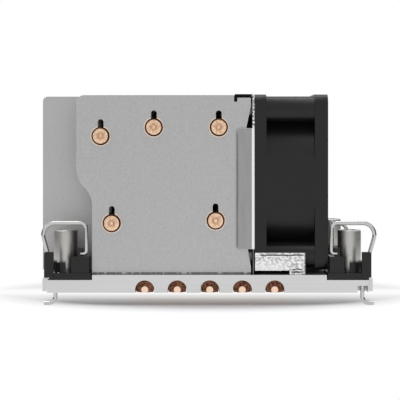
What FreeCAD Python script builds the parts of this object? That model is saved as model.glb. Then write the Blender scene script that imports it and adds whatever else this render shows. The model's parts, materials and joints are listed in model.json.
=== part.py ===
"""Two-unit server processor cooler: copper heat pipes, a fin stack, a side fan and a captive-nut base.

Frame: origin in the middle of the base plate's underside, X along the plate towards the fan,
Y across it towards the heat-pipe bends, Z up.  Millimetres throughout.
"""
import FreeCAD, Part
import math
import os
import re
import sys

import Sketcher

Vector = FreeCAD.Vector

# Driving dimensions.  Each row becomes a named cell of the sheet.
DIMENSIONS = [
    ("base_long", 113, "base plate length along X"),
    ("base_front", 2.5, "how far the base plate stands out in front of the fins"),
    ("base_rear", 15.5, "how far the base plate stands out behind the fins"),
    ("base_thick", 6, "base plate thickness"),
    ("step_long", 2.1, "corner step of the base plate, along X"),
    ("step_wide", 4.75, "corner step of the base plate, along Y"),
    ("ledge_long", 16.8, "length of the corner ledges along X"),
    ("ledge_wide", 15.8, "width of the corner ledges along Y"),
    ("ledge_top", 4.3, "height of the corner ledges"),
    ("bend_notch_left", 29, "left end of the rear notch for the pipe bends"),
    ("bend_notch_right", 29.2, "right end of the rear notch for the pipe bends"),
    ("bend_notch_depth", 14, "depth of the rear notch"),
    ("nut_inset_long", 7.7, "distance of a captive nut from the plate's end"),
    ("nut_inset_wide", 8, "distance of a captive nut from the plate's side"),
    ("pipe_round", 3, "outer radius of the heat pipes"),
    ("pipe_middle", 0.95, "height of the pipe axes in the base"),
    ("pipe_pitch", 11, "spacing of the pipes in the base"),
    ("pipe_shift", 0.7, "offset of the middle pipe from the plate's middle"),
    ("pipe_bend", 12, "bend radius of the pipe axes"),
    ("groove_gap", 0.25, "solder gap between a pipe and its groove"),
    ("collar_gap", 0.05, "gap between a pipe and a fin hole"),
    ("tip_reach", 1.9, "how far the domed pipe ends stand out of the front fin"),
    ("tip_edge", 0.4, "rounding of a domed pipe end's edge"),
    ("tip_dome", 0.16, "rise of a domed pipe end to its middle"),
    ("tip_nub", 0.6, "radius of the cut nub in the middle of a domed pipe end"),
    ("neck_long", 2, "length of a necked pipe end"),
    ("neck_round", 1.2, "radius of a necked pipe end's face"),
    ("neck_edge", 0.15, "rounding of that face's edge"),
    ("neck_dome", 0.6, "depth of a necked pipe end's dome"),
    ("neck_recess", 0.5, "how far the necked pipe ends stay behind the plate's front face"),
    ("fin_sheet", 0.4, "fin thickness"),
    ("fin_count", 31, "fins in the stack"),
    ("fin_narrow", 8, "fins at the front that are narrow"),
    ("fin_lip_gap", 0.06, "gap between a fin's lip and the next fin"),
    ("fin_drop", 0.3, "how far the fins' upper edge stays below the fan's"),
    ("narrow_gap", 2, "gap between the narrow fins and the fan bracket"),
    ("front_gap", 0.5, "gap between the front fin's full reach and the fan bracket"),
    ("slant_top", 63.3, "height where the front fin's right edge starts to slant inwards"),
    ("slant_bottom", 55.9, "height where that slant ends"),
    ("low_slant_top", 17.5, "height where that edge starts to slant back outwards"),
    ("low_slant_bottom", 8.5, "height where it meets its full reach again"),
    ("wide_gap", 1.4, "gap between the wide fins and the fan bracket"),
    ("front_bend", 0.35, "rounding of the front fin's lower edge"),
    ("wide_overhang", 1.5, "how far the wide fins stand out past the plate's left end"),
    ("narrow_inset", 11.9, "distance of the narrow fins from the plate's left end, above their curve"),
    ("waist_inset", 17.2, "distance of the narrow fins from that end, below their curve"),
    ("curve_top", 42.1, "height where the curved edge starts"),
    ("curve_bottom", 29.2, "height where the curved edge ends"),
    ("narrow_corner", 2.6, "corner radius of the narrow fins"),
    ("wide_corner", 1.7, "corner radius of the wide fins"),
    ("flange_reach", 6.2, "length of the stepped notch for the bracket's top flange"),
    ("flange_fit", 0.15, "gap between the top flange and the stepped notch"),
    ("collar_wall", 0.35, "wall of the pulled collars"),
    ("collar_reach", 0.4, "height of the pulled collars"),
    ("key_wide", 2, "width of the key slots above the pipes"),
    ("key_reach", 5.8, "height of the key slots above the pipe axes"),
    ("sheet", 0.8, "thickness of the fan bracket"),
    ("bracket_inset", 41.3, "distance of the fan bracket's left face from the plate's right end"),
    ("flap_reach", 5.4, "reach of the bracket's front flap over the fins"),
    ("flap_bottom", 14.6, "lower edge of the flap"),
    ("flap_top", 55.7, "upper edge of the flap"),
    ("tab_top", 13.4, "upper edge of the lower tab"),
    ("tab_long", 18, "length of the lower tab"),
    ("foot_long", 5.4, "length of the tab's foot"),
    ("hook_drop", 1.4, "depth of the top flange's hooked edge"),
    ("fan_size", 60, "side of the fan"),
    ("fan_deep", 25, "depth of the fan along X"),
    ("fan_lift", 1.3, "gap between the base plate and the fan"),
    ("fan_flange", 4, "thickness of the fan's outlet flange"),
    ("fan_inlet_flange", 4.5, "thickness of the fan's inlet flange"),
    ("fan_corner", 3.5, "corner radius of the fan flanges"),
    ("fan_bore", 28.6, "radius of the fan's air passage"),
    ("fan_barrel", 30, "outer radius of the fan's barrel"),
    ("pad_half", 8, "half the width of the flat pads between the fan's windows"),
    ("gusset_long", 3.4, "length of the gussets beside the pads, along the fan's axis"),
    ("gusset_wide", 1.7, "width of those gussets"),
    ("fan_boss", 4.4, "radius of the bosses round the fan's screw holes"),
    ("fan_flare", 0.9, "rounding of the fan's inlet edge"),
    ("fan_hole_spacing", 50, "spacing of the fan's screw holes"),
    ("screw_round", 2, "radius of the fan screws"),
    ("screw_gap", 0.05, "radial gap round a fan screw in the frame"),
    ("bracket_gap", 0.5, "radial gap round a fan screw in the bracket"),
    ("inlet_hole", 2.25, "radius of the screw holes in the fan's inlet flange"),
    ("screw_head", 3.4, "radius of a fan screw's head"),
    ("screw_head_tall", 1.2, "height of a fan screw's head"),
    ("screw_deep", 7, "length of a fan screw below its head"),
    ("motor_round", 14, "radius of the fan's motor plate"),
    ("motor_plate", 1.8, "thickness of the motor plate"),
    ("strut_wide", 3, "width of the struts"),
    ("strut_deep", 3, "depth of the struts"),
    ("run_gap", 0.3, "gap between the rotor and the struts"),
    ("tip_gap", 0.7, "gap between the blade tips and the air passage"),
    ("hub_round", 14.6, "radius of the rotor's hub"),
    ("hub_top", 22.6, "height of the hub above the fan's outlet face"),
    ("hub_wall", 1.3, "wall of the hub"),
    ("hub_socket", 5.2, "depth of the hub's socket for the shaft"),
    ("hub_corner", 1.5, "rounding of the hub's front edge"),
    ("blade_count", 7, "blades of the rotor"),
    ("blade_root_half", 4.9, "half of a blade's width at the hub, across the flow"),
    ("blade_tip_half", 9, "half of a blade's width at its tip, across the flow"),
    ("blade_sweep", 2.9, "how far a blade's tip sits off its root, across the flow"),
    ("blade_camber", 3, "rise of a blade's curved back"),
    ("blade_thick", 1.3, "greatest thickness of a blade"),
    ("yoke_wall", 1, "wall of the steel rotor ring"),
    ("magnet_wall", 1.9, "wall of the ring magnet"),
    ("magnet_long", 12, "length of the ring magnet"),
    ("shaft_round", 1.5, "radius of the rotor shaft"),
    ("shaft_gap", 0.03, "running gap between the shaft and its bearings"),
    ("bearing_round", 4, "outer radius of the bearings"),
    ("bearing_long", 4, "length of a bearing"),
    ("bearing_fit", 0.02, "glued gap round the rear bearing"),
    ("tube_wall", 0.8, "wall of the bearing tube"),
    ("tube_long", 14.5, "length of the bearing tube"),
    ("pole_gap", 0.6, "gap between the stator poles and the magnet"),
    ("shoe_half", 5.7, "half of a pole shoe's width"),
    ("shoe_thick", 1.2, "thickness of a pole shoe"),
    ("coil_gap", 1.1, "gap between a coil and its pole shoe"),
    ("stator_tall", 7, "height of the stator stack"),
    ("board_thick", 1, "thickness of the motor's circuit board"),
    ("nut_round", 4, "radius of the captive nuts"),
    ("nut_top", 20.8, "height of the nuts' upper face"),
    ("nut_neck", 3, "radius of a nut's neck"),
    ("nut_edge", 0.3, "bevel of a nut's upper edge"),
    ("nut_mouth", 0.5, "height of a nut's lower face"),
    ("nut_bore", 2, "radius of a nut's threaded bore"),
    ("nut_bore_deep", 11, "depth of a nut's threaded bore"),
    ("nut_seat", 0.06, "gap under a nut's shoulder"),
    ("neck_gap", 0.09, "running gap round a nut's neck"),
    ("drive_round", 2.05, "radius of the six-lobed drive recess"),
    ("drive_lobe", 0.62, "radius of each lobe of the drive recess"),
    ("drive_deep", 3.2, "depth of the drive recess"),
    ("holder_thick", 2.3, "thickness of a holder's floor"),
    ("holder_play", 0.3, "gap between a holder's floor and the end of its ledge"),
    ("holder_inset", 2.45, "distance of a holder's floor from the plate's end"),
    ("holder_back_gap", 0.5, "gap between a holder's floor and the back of its ledge"),
    ("holder_shift", 0.6, "how far all the holders sit towards the fan's side"),
    ("cup_gap", 0.3, "gap between a nut and its cup"),
    ("cup_wall", 1.5, "wall of a holder's cup"),
    ("cup_low", 9.9, "height of the cup's low lip"),
    ("cup_high", 12.1, "height of the cup's high wall"),
    ("cup_slot", 2.1, "width of the slot between the cup's lips"),
    ("slot_offset", 2.5, "distance of the slot's inner side from the nut's axis"),
    ("post_inset", 1.2, "distance of a holder's outer post from the plate's end"),
    ("post_wide", 3.2, "width of a holder's outer post"),
    ("post_bottom", 5.2, "lower edge of the outer post"),
    ("post_top", 13.8, "upper edge of the outer post"),
    ("post_thick", 1.1, "thickness of the outer post"),
    ("post_gap", 0.3, "gap between the wire and the holder"),
    ("ear_top", 15.1, "upper edge of the ear that holds the wire's pivot"),
    ("ear_wide", 1.7, "width of the ear"),
    ("wire_round", 0.72, "radius of the wire"),
    ("wire_inset", 1.6, "distance of the wires' plane from the plate's side"),
    ("wire_pivot", 13.2, "height of the wires' pivot"),
    ("wire_pivot_gap", 0.08, "radial gap round the wire's pivot"),
    ("wire_pivot_bend", 0.95, "bend radius between a wire's stub and its inner leg"),
    ("wire_top_bend", 1.7, "bend radius of the handle's inner corner"),
    ("wire_leg_bend", 5, "bend radius above a wire's lower leg"),
    ("wire_reach", 7.1, "distance of a wire's inner leg from the nut's axis"),
    ("wire_stub", 2.5, "length of a wire's pivot stub"),
    ("wire_top", 23.5, "height of the front wires' handles"),
    ("wire_top_rear", 18.7, "height of the rear wires' handles"),
    ("wire_shoulder", 8.7, "distance of the handle's outer corner from the nut's axis"),
    ("wire_round_top", 4, "bend radius of the handle's outer corner"),
    ("wire_leg", 3.3, "distance of a wire's lower leg from the nut's axis"),
    ("wire_leg_top", 4.6, "upper end of a wire's lower leg"),
    ("wire_hook_round", 2.2, "bend radius of the hook"),
    ("wire_foot", 7.1, "distance of the foot's end from the nut's axis"),
    ("wire_foot_drop", 3.6, "depth of a wire's foot below the base plate"),
    ("wire_shift", 0.4, "how far the wires sit towards the fan's side in their play"),
    ("slot_start", 1.9, "distance of a wire slot's inner end from the nut's axis"),
    ("slot_long", 3.6, "length of the wire slots in the base plate"),
    ("slot_inset", 6.5, "distance of a wire slot's back edge from the plate's side"),
    ("way_inset", 4.9, "distance of the wire's way through a holder from the plate's side"),
    ("window_tall", 2.4, "height of the open window in front of a wire"),
]
# Sizes that follow from the others: alias, formula, meaning.
DERIVED = [
    ("base_wide", "fan_size + base_front + base_rear", "base plate width along Y"),
    ("fin_front", "base_wide / 2 - base_front", "distance of the stack's front face from the middle"),
    ("fin_top", "base_thick + fan_lift + fan_size - fin_drop", "height of the fins' upper edge"),
    ("pipe_bend_start", "base_wide / 2 - pipe_bend - pipe_round", "where the pipes start to bend"),
    ("nut_across", "base_long / 2 - nut_inset_long", "distance of the nuts from the middle, along X"),
    ("nut_along", "base_wide / 2 - nut_inset_wide", "distance of the nuts from the middle, along Y"),
    ("ledge_start", "base_long / 2 - ledge_long", "where the corner ledges start, along X"),
    ("ledge_side", "base_wide / 2 - ledge_wide", "where the corner ledges start, along Y"),
    ("wire_plane", "base_wide / 2 - wire_inset", "distance of the wires' plane from the middle"),
    ("slot_inner", "nut_across + slot_start", "inner end of the wire slots"),
    ("slot_outer", "slot_inner + slot_long", "outer end of the wire slots"),
    ("slot_back", "base_wide / 2 - slot_inset", "back edge of the wire slots"),
    ("way_back", "base_wide / 2 - way_inset", "back edge of the wire's way through a holder"),
    ("bracket_left", "base_long / 2 - bracket_inset", "left face of the fan bracket"),
    ("fin_right", "bracket_left - narrow_gap", "right edge of the narrow fins"),
    ("front_right", "bracket_left - front_gap", "right edge of the front fin beside the bracket's flange"),
    ("wide_right", "bracket_left - wide_gap", "right edge of the wide fins"),
    ("wide_left", "base_long / 2 + wide_overhang", "left edge of the wide fins, from the middle"),
    ("narrow_left", "base_long / 2 - narrow_inset", "left edge of the narrow fins above their curve"),
    ("narrow_waist", "base_long / 2 - waist_inset", "left edge of the narrow fins below their curve"),
    ("flange_notch", "bracket_left - flange_reach", "where the top flange's stepped notch starts"),
    ("flap_left", "bracket_left - flap_reach", "left edge of the bracket's front flap"),
    ("tab_right", "bracket_left + tab_long", "right edge of the lower tab"),
    ("foot_left", "tab_right - foot_long", "left edge of the tab's foot"),
]

# Where each pipe's upper end crosses the fins: name, edge of the stack that it keeps to, distance
# from that edge along X, height.
PIPE_ENDS = [
    ("one", "-base_long / 2", 23.9, 23.4),
    ("two", "-base_long / 2", 20.1, 53.0),
    ("three", "0", -18.3, 56.0),
    ("four", "bracket_left", -12.5, 24.3),
    ("five", "bracket_left", -11.4, 56.0),
]
PIPES = [row[0] for row in PIPE_ENDS]
for pipe, edge, reach, up in PIPE_ENDS:
    DIMENSIONS.append((f"pipe_{pipe}_reach", reach, f"pipe {pipe}: distance from its edge of the stack"))
    DIMENSIONS.append((f"pipe_{pipe}_up", up, f"pipe {pipe}: height in the fins"))
    DERIVED.append((f"pipe_{pipe}_across", f"{edge} + pipe_{pipe}_reach", f"pipe {pipe}: place along X"))

CORNERS = [("front_left", -1, -1), ("front_right", 1, -1), ("rear_left", -1, 1), ("rear_right", 1, 1)]

doc = FreeCAD.newDocument("ServerCooler")
sheet = doc.addObject("Spreadsheet::Sheet", "Dims")
for row, (alias, number, meaning) in enumerate(DIMENSIONS + DERIVED, start=1):
    sheet.set(f"A{row}", meaning)
    sheet.set(f"B{row}", f"={number}")
    sheet.setAlias(f"B{row}", alias)
doc.recompute()

ALIASES = {alias for alias, number, meaning in DIMENSIONS + DERIVED}

TINY = 1e-6

# Places that several pieces share, each as a formula of the sheet's cells.
FIN_PITCH = "((fan_size - fin_sheet) / (fin_count - 1))"
FAN_MIDDLE = "(fan_size / 2 - fin_front)"
FAN_BOTTOM = "(base_thick + fan_lift)"
FAN_HEIGHT = "(base_thick + fan_lift + fan_size / 2)"
FAN_LEFT = "(bracket_left + sheet)"
STACK_REAR = "(fan_size - fin_front)"
BRACKET_TOP = "(base_thick + fan_lift + fan_size)"
FLANGE_UNDER = f"({BRACKET_TOP} - sheet - 2 * flange_fit)"
CUP_OUTER = "(nut_round + cup_gap + cup_wall)"
HOLDER_TOP = "(ledge_top + holder_thick)"
STRIP_BACK = "(wire_plane + wire_round + post_gap)"


def formula(text):
    """Turn a formula of dimension names into one that the expression engine reads."""

    def cell(word):
        return f"Dims.{word.group()}" if word.group() in ALIASES else word.group()

    return re.sub(r"[a-z_]+", cell, text)


def number_of(text):
    """The present value of a formula."""
    return float(doc.getObject("Probe").evalExpression(formula(text)))


def shifted(text, sign, shift):
    """A distance from the middle on one side of a piece that sits off centre by a shift."""
    return f"({text} {'+' if sign > 0 else '-'} {shift})"


doc.addObject("App::FeaturePython", "Probe")


class Drawing:
    """A sketch whose corners, arcs and circles are all tied to formulas."""

    def __init__(self, body, name, plane, height="0", flip_x=1, flip_y=1):
        self.flip_x = flip_x
        self.flip_y = flip_y
        self.sketch = body.newObject("Sketcher::SketchObject", name)
        self.sketch.AttachmentSupport = [(origin_part(body, plane), "")]
        self.sketch.MapMode = "FlatFace"
        self.sketch.setExpression("AttachmentOffset.Base.z", formula(height))

    def across(self, text):
        return text if self.flip_x > 0 else f"-({text})"

    def along(self, text):
        return text if self.flip_y > 0 else f"-({text})"

    def tie(self, constraints):
        """Add constraints, each with the formula that drives it, or None."""
        first = self.sketch.addConstraint([constraint for constraint, text in constraints])[0]
        for step, (constraint, text) in enumerate(constraints):
            if text is not None:
                self.sketch.setExpression(f"Constraints[{first + step}]", formula(text))

    def pin(self, piece, end, x, y):
        """Constraints that hold one point of the sketch at two formulas."""
        return [
            (Sketcher.Constraint("DistanceX", -1, 1, piece, end, number_of(x)), x),
            (Sketcher.Constraint("DistanceY", -1, 1, piece, end, number_of(y)), y),
        ]

    def circle(self, x, y, radius):
        x, y = self.across(x), self.along(y)
        middle = Vector(number_of(x), number_of(y), 0)
        ring = Part.Circle(middle, Vector(0, 0, 1), number_of(radius))
        piece = self.sketch.addGeometry(ring)
        size = Sketcher.Constraint("Radius", piece, number_of(radius))
        self.tie(self.pin(piece, 3, x, y) + [(size, radius)])
        return self

    def run(self, corners, closed=True):
        """Straight edges and arcs from corner to corner.

        A corner is (x, y), or (x, y, radius, turn) where the edge that leaves it is an arc:
        turn is 1 when that arc bends to the left and -1 when it bends to the right.
        """
        points = [(self.across(corner[0]), self.along(corner[1])) for corner in corners]
        places = [Vector(number_of(x), number_of(y), 0) for x, y in points]
        edges = len(corners) if closed else len(corners) - 1
        pieces = []
        starts = []
        ends = []
        for step in range(edges):
            start, end = places[step], places[(step + 1) % len(corners)]
            if len(corners[step]) == 2:
                pieces.append(self.sketch.addGeometry(Part.LineSegment(start, end)))
                starts.append(1)
                ends.append(2)
            else:
                turn = corners[step][3] * self.flip_x * self.flip_y
                arc = arc_between(start, end, number_of(corners[step][2]), turn)
                pieces.append(self.sketch.addGeometry(arc))
                starts.append(1 if turn > 0 else 2)
                ends.append(2 if turn > 0 else 1)
        ties = []
        for step in range(edges):
            ties += self.pin(pieces[step], starts[step], *points[step])
            if len(corners[step]) > 2:
                size = corners[step][2]
                ties.append((Sketcher.Constraint("Radius", pieces[step], number_of(size)), size))
            if closed or step < edges - 1:
                following = (step + 1) % edges
                here, there = (pieces[step], ends[step]), (pieces[following], starts[following])
                ties.append((Sketcher.Constraint("Coincident", *here, *there), None))
        if not closed:
            ties += self.pin(pieces[-1], ends[-1], *points[-1])
        self.tie(ties)
        return self

    def bent(self, route):
        """An open line bent round arcs: each stop is (x, y, bend radius), None at the two ends."""
        stops = [(self.across(x), self.along(y), radius) for x, y, radius in route]
        places = [Vector(number_of(x), number_of(y), 0) for x, y, radius in stops]
        entries, leaves = [places[0]], [places[0]]
        for before, here, after, stop in zip(places, places[1:], places[2:], stops[1:]):
            back, onward = (before - here).normalize(), (after - here).normalize()
            reach = number_of(stop[2]) / math.tan(back.getAngle(onward) / 2)
            entries.append(here + back * reach)
            leaves.append(here + onward * reach)
        entries.append(places[-1])
        lines = [
            self.sketch.addGeometry(Part.LineSegment(leaves[step], entries[step + 1]))
            for step in range(len(stops) - 1)
        ]
        ties = self.pin(lines[0], 1, *stops[0][:2]) + self.pin(lines[-1], 2, *stops[-1][:2])
        for step in range(1, len(stops) - 1):
            x, y, radius = stops[step]
            before, after = lines[step - 1], lines[step]
            inward, outward = places[step] - places[step - 1], places[step + 1] - places[step]
            turn = 1 if inward.cross(outward).z > 0 else -1
            arc = self.sketch.addGeometry(arc_between(entries[step], leaves[step], number_of(radius), turn))
            start, end = (1, 2) if turn > 0 else (2, 1)
            corner = self.sketch.addGeometry(Part.Point(places[step]), True)
            ties += self.pin(corner, 1, x, y)
            ties += [
                (Sketcher.Constraint("PointOnObject", corner, 1, before), None),
                (Sketcher.Constraint("PointOnObject", corner, 1, after), None),
                (Sketcher.Constraint("Tangent", before, 2, arc, start), None),
                (Sketcher.Constraint("Tangent", arc, end, after, 1), None),
                (Sketcher.Constraint("Radius", arc, number_of(radius)), radius),
            ]
        self.tie(ties)
        return self

    def axis(self, x_start, y_start, x_end, y_end):
        """A construction line that a revolution can turn about."""
        start = Vector(number_of(x_start), number_of(y_start), 0)
        end = Vector(number_of(x_end), number_of(y_end), 0)
        piece = self.sketch.addGeometry(Part.LineSegment(start, end), True)
        self.tie(self.pin(piece, 1, x_start, y_start) + self.pin(piece, 2, x_end, y_end))
        return self

    def box(self, left, low, right, high):
        return self.run([(left, low), (right, low), (right, high), (left, high)])

    def rounded_box(self, left, low, right, high, corner):
        return self.run([
            (f"{left} + {corner}", low),
            (f"{right} - {corner}", low, corner, 1),
            (right, f"{low} + {corner}"),
            (right, f"{high} - {corner}", corner, 1),
            (f"{right} - {corner}", high),
            (f"{left} + {corner}", high, corner, 1),
            (left, f"{high} - {corner}"),
            (left, f"{low} + {corner}", corner, 1),
        ])


def arc_between(start, end, radius, turn):
    """The shorter arc of a radius from start to end; turn 1 bends left, -1 bends right."""
    chord = end - start
    half = chord.Length / 2
    rise = math.sqrt(max(radius * radius - half * half, 0))
    side = Vector(-chord.y, chord.x, 0).normalize() * turn
    middle = (start + end) * 0.5 + side * rise
    first, last = (start, end) if turn > 0 else (end, start)
    begin = math.atan2(first.y - middle.y, first.x - middle.x)
    finish = math.atan2(last.y - middle.y, last.x - middle.x)
    if finish < begin:
        finish += 2 * math.pi
    return Part.ArcOfCircle(Part.Circle(middle, Vector(0, 0, 1), radius), begin, finish)


def origin_part(body, role):
    """One of a body's own origin planes or axes."""
    return next(part for part in body.Origin.OriginFeatures if part.Role == role)


def new_body(name):
    body = doc.addObject("PartDesign::Body", name)
    body.Label = name
    return body


def place(body, x, y, z, turn=None):
    """Put a body at three formulas, turned by a fixed rotation where one is given."""
    body.Placement = FreeCAD.Placement(Vector(), turn or FreeCAD.Rotation())
    body.setExpression("Placement.Base.x", formula(x))
    body.setExpression("Placement.Base.y", formula(y))
    body.setExpression("Placement.Base.z", formula(z))


def pad(body, drawing, length, reverse=False):
    feature = body.newObject("PartDesign::Pad", "Pad")
    feature.Profile = drawing.sketch
    feature.setExpression("Length", formula(length))
    feature.Reversed = reverse
    return feature


def pocket(body, drawing, length=None, reverse=False):
    """Cut a sketch's outline to a depth, or right through, against the sketch's normal unless reversed."""
    feature = body.newObject("PartDesign::Pocket", "Pocket")
    feature.Profile = drawing.sketch
    feature.Reversed = reverse
    if length is None:
        feature.Type = "ThroughAll"
    else:
        feature.setExpression("Length", formula(length))
    return feature


def revolve(body, drawing, axis="V_Axis"):
    feature = body.newObject("PartDesign::Revolution", "Turned")
    feature.Profile = drawing.sketch
    feature.ReferenceAxis = (drawing.sketch, [axis])
    feature.Angle = 360
    return feature


def sweep(body, profile, path):
    feature = body.newObject("PartDesign::AdditivePipe", "Swept")
    feature.Profile = profile.sketch
    feature.Spine = (path.sketch, [])
    feature.Mode = "Standard"
    return feature


def row_of(body, features, axis, count, length, reverse=False):
    """Repeat features in a straight row along one of the body's axes."""
    feature = body.newObject("PartDesign::LinearPattern", "Row")
    feature.Originals = features
    feature.Direction = (origin_part(body, axis), [""])
    feature.setExpression("Length", formula(length))
    feature.setExpression("Occurrences", formula(count))
    feature.Reversed = reverse
    body.Tip = feature
    return feature


def edges_where(feature, test):
    """The names of a feature's edges that pass a test."""
    return [f"Edge{number}" for number, edge in enumerate(feature.Shape.Edges, start=1) if test(edge)]


def rounding(body, feature, edges, radius):
    fillet = body.newObject("PartDesign::Fillet", "Rounding")
    fillet.Base = (feature, edges)
    fillet.setExpression("Radius", formula(radius))


def ring_of(body, features, count):
    """Repeat features evenly round the body's Z axis."""
    feature = body.newObject("PartDesign::PolarPattern", "Ring")
    feature.Originals = features
    feature.Axis = (origin_part(body, "Z_Axis"), [""])
    feature.Angle = 360
    feature.setExpression("Occurrences", formula(count))
    body.Tip = feature
    return feature


# ---------------------------------------------------------------- base plate

def base_plate():
    body = new_body("base_plate")
    edge, side = "base_long / 2", "base_wide / 2"
    inner, back = f"{edge} - step_long", f"{side} - step_wide"
    outline = Drawing(body, "PlateOutline", "XY_Plane")
    outline.run([
        (f"-({inner})", f"-({side})"), (inner, f"-({side})"),
        (inner, f"-({back})"), (edge, f"-({back})"),
        (edge, back), (inner, back),
        (inner, side), (f"-({inner})", side),
        (f"-({inner})", back), (f"-({edge})", back),
        (f"-({edge})", f"-({back})"), (f"-({inner})", f"-({back})"),
    ])
    pad(body, outline, "base_thick")
    for corner, sign_x, sign_y in CORNERS:
        ledge = Drawing(body, "Ledge", "XY_Plane", "base_thick", sign_x, sign_y)
        ledge_inner = shifted("ledge_start", sign_x, "holder_shift")
        ledge.box(ledge_inner, "ledge_side", f"{edge} + sheet", f"{side} + sheet")
        pocket(body, ledge, "base_thick - ledge_top")
        hole = Drawing(body, "NutHole", "XY_Plane", "base_thick", sign_x, sign_y)
        hole.circle("nut_across", "nut_along", "nut_neck + neck_gap")
        pocket(body, hole)
        slot = Drawing(body, "WireSlot", "XY_Plane", "base_thick", sign_x, sign_y)
        slot.box("slot_inner", "slot_back", "slot_outer", STRIP_BACK)
        pocket(body, slot)
    for sign in (1, -1):
        window = Drawing(body, "WireWindow", "XZ_Plane", f"{sign} * ({side})", sign)
        window.box("slot_inner", "0", "slot_outer", "window_tall")
        pocket(body, window, "base_wide / 2 - wire_plane", reverse=sign < 0)
    groove = Drawing(body, "PipeGroove", "XZ_Plane", side)
    groove.circle("pipe_shift - 2 * pipe_pitch", "pipe_middle", "pipe_round + groove_gap")
    cut = pocket(body, groove, "base_wide")
    row_of(body, [cut], "X_Axis", "5", "4 * pipe_pitch")
    notch = Drawing(body, "BendNotch", "XY_Plane", "base_thick")
    notch.box("-bend_notch_left", f"{side} - bend_notch_depth", "bend_notch_right", f"{side} + sheet")
    pocket(body, notch)


# ---------------------------------------------------------------- heat pipes

def pipe_blank(pipe, slot):
    """A pipe in its own plane: flat U with Y along the base and Z along its slanted rise."""
    body = new_body(f"pipe_{pipe}_blank")
    base_x = f"(pipe_shift + {slot} * pipe_pitch)"
    shift = f"(pipe_{pipe}_across - {base_x})"
    climb = f"(pipe_{pipe}_up - pipe_middle)"
    rise = f"sqrt({shift} ^ 2 + {climb} ^ 2)"
    place(body, base_x, "0", "pipe_middle", FreeCAD.Rotation(Vector(0, 1, 0), 0))
    body.setExpression("Placement.Rotation.Angle", formula(f"atan({shift} / {climb})"))
    low_start = "-(base_wide / 2 - neck_recess - neck_long)"
    high_start = "-(fin_front + tip_reach / 2)"
    path = Drawing(body, "Route", "YZ_Plane")
    path.run([
        (low_start, "0"),
        ("pipe_bend_start", "0", "pipe_bend", 1),
        ("pipe_bend_start + pipe_bend", "pipe_bend"),
        ("pipe_bend_start + pipe_bend", f"{rise} - pipe_bend", "pipe_bend", 1),
        ("pipe_bend_start", rise),
        (high_start, rise),
    ], closed=False)
    section = Drawing(body, "Section", "XZ_Plane", f"-({low_start})")
    section.circle("0", "0", "pipe_round")
    sweep(body, section, path)
    necked = Drawing(body, "NeckedEnd", "YZ_Plane")
    neck_end = "-(base_wide / 2 - neck_recess)"
    necked.run([
        (low_start, "0"),
        (low_start, "pipe_round"),
        (f"{neck_end} + neck_dome", "neck_round + neck_edge"),
        (neck_end, "neck_round"),
        (neck_end, "0"),
    ])
    revolve(body, necked, "H_Axis")
    domed = Drawing(body, "DomedEnd", "YZ_Plane")
    shoulder = f"{high_start} - tip_reach / 4"
    domed.run([
        (high_start, rise),
        (high_start, f"{rise} + pipe_round"),
        (shoulder, f"{rise} + pipe_round - tip_edge"),
        (f"{shoulder} - tip_dome", f"{rise} + tip_nub + tip_edge / 2"),
        (f"{high_start} - tip_reach / 2", f"{rise} + tip_nub"),
        (f"{high_start} - tip_reach / 2", rise),
    ])
    domed.axis(high_start, rise, "0", rise)
    revolve(body, domed, "Axis0")
    return body


def heat_pipe(pipe, slot):
    """A pipe whose lower side is machined flush with the base plate's underside."""
    under = doc.addObject("Part::Box", f"flush_cut_{pipe}")
    under.setExpression("Length", formula("base_long"))
    under.setExpression("Width", formula("2 * base_wide"))
    under.setExpression("Height", formula("base_thick"))
    under.setExpression("Placement.Base.x", formula("-base_long / 2"))
    under.setExpression("Placement.Base.y", formula("-base_wide"))
    under.setExpression("Placement.Base.z", formula("-base_thick"))
    finished = doc.addObject("Part::Cut", f"heat_pipe_{pipe}")
    finished.Base = pipe_blank(pipe, slot)
    finished.Tool = under
    finished.Label = f"heat_pipe_{pipe}"


# ---------------------------------------------------------------- fins

def stepped_top(top_left, right):
    """The upper edge of a fin, with the stepped notch that the bracket's flange hooks into."""
    step = f"{FLANGE_UNDER} - flange_fit"
    slot_right = "flange_notch + sheet + 2 * flange_fit"
    slot_bottom = f"{step} - hook_drop"
    return [
        top_left,
        ("flange_notch", "fin_top"),
        ("flange_notch", slot_bottom),
        (slot_right, slot_bottom),
        (slot_right, step),
        (right, step),
    ]


def narrow_outline(right, edge):
    """Outline of the narrow fins: the left edge swings inwards in two equal arcs."""
    half_in = "((narrow_left - narrow_waist) / 2)"
    half_down = "((curve_top - curve_bottom) / 2)"
    swing = f"(({half_in} ^ 2 + {half_down} ^ 2) / (2 * {half_in}))"
    middle = ("-(narrow_left + narrow_waist) / 2", "(curve_top + curve_bottom) / 2", swing, -1)
    corners = stepped_top(("-narrow_left + narrow_corner", "fin_top"), right)
    return corners + edge + [
        ("-narrow_waist", "base_thick"),
        ("-narrow_waist", "curve_bottom", swing, 1),
        middle,
        ("-narrow_left", "curve_top"),
        ("-narrow_left", "fin_top - narrow_corner", "narrow_corner", -1),
    ]


def wide_outline():
    corners = stepped_top(("-wide_left + wide_corner", "fin_top"), "wide_right")
    return corners + [
        ("wide_right", "base_thick"),
        ("-wide_left", "base_thick"),
        ("-wide_left", "fin_top - wide_corner", "wide_corner", -1),
    ]


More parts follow.
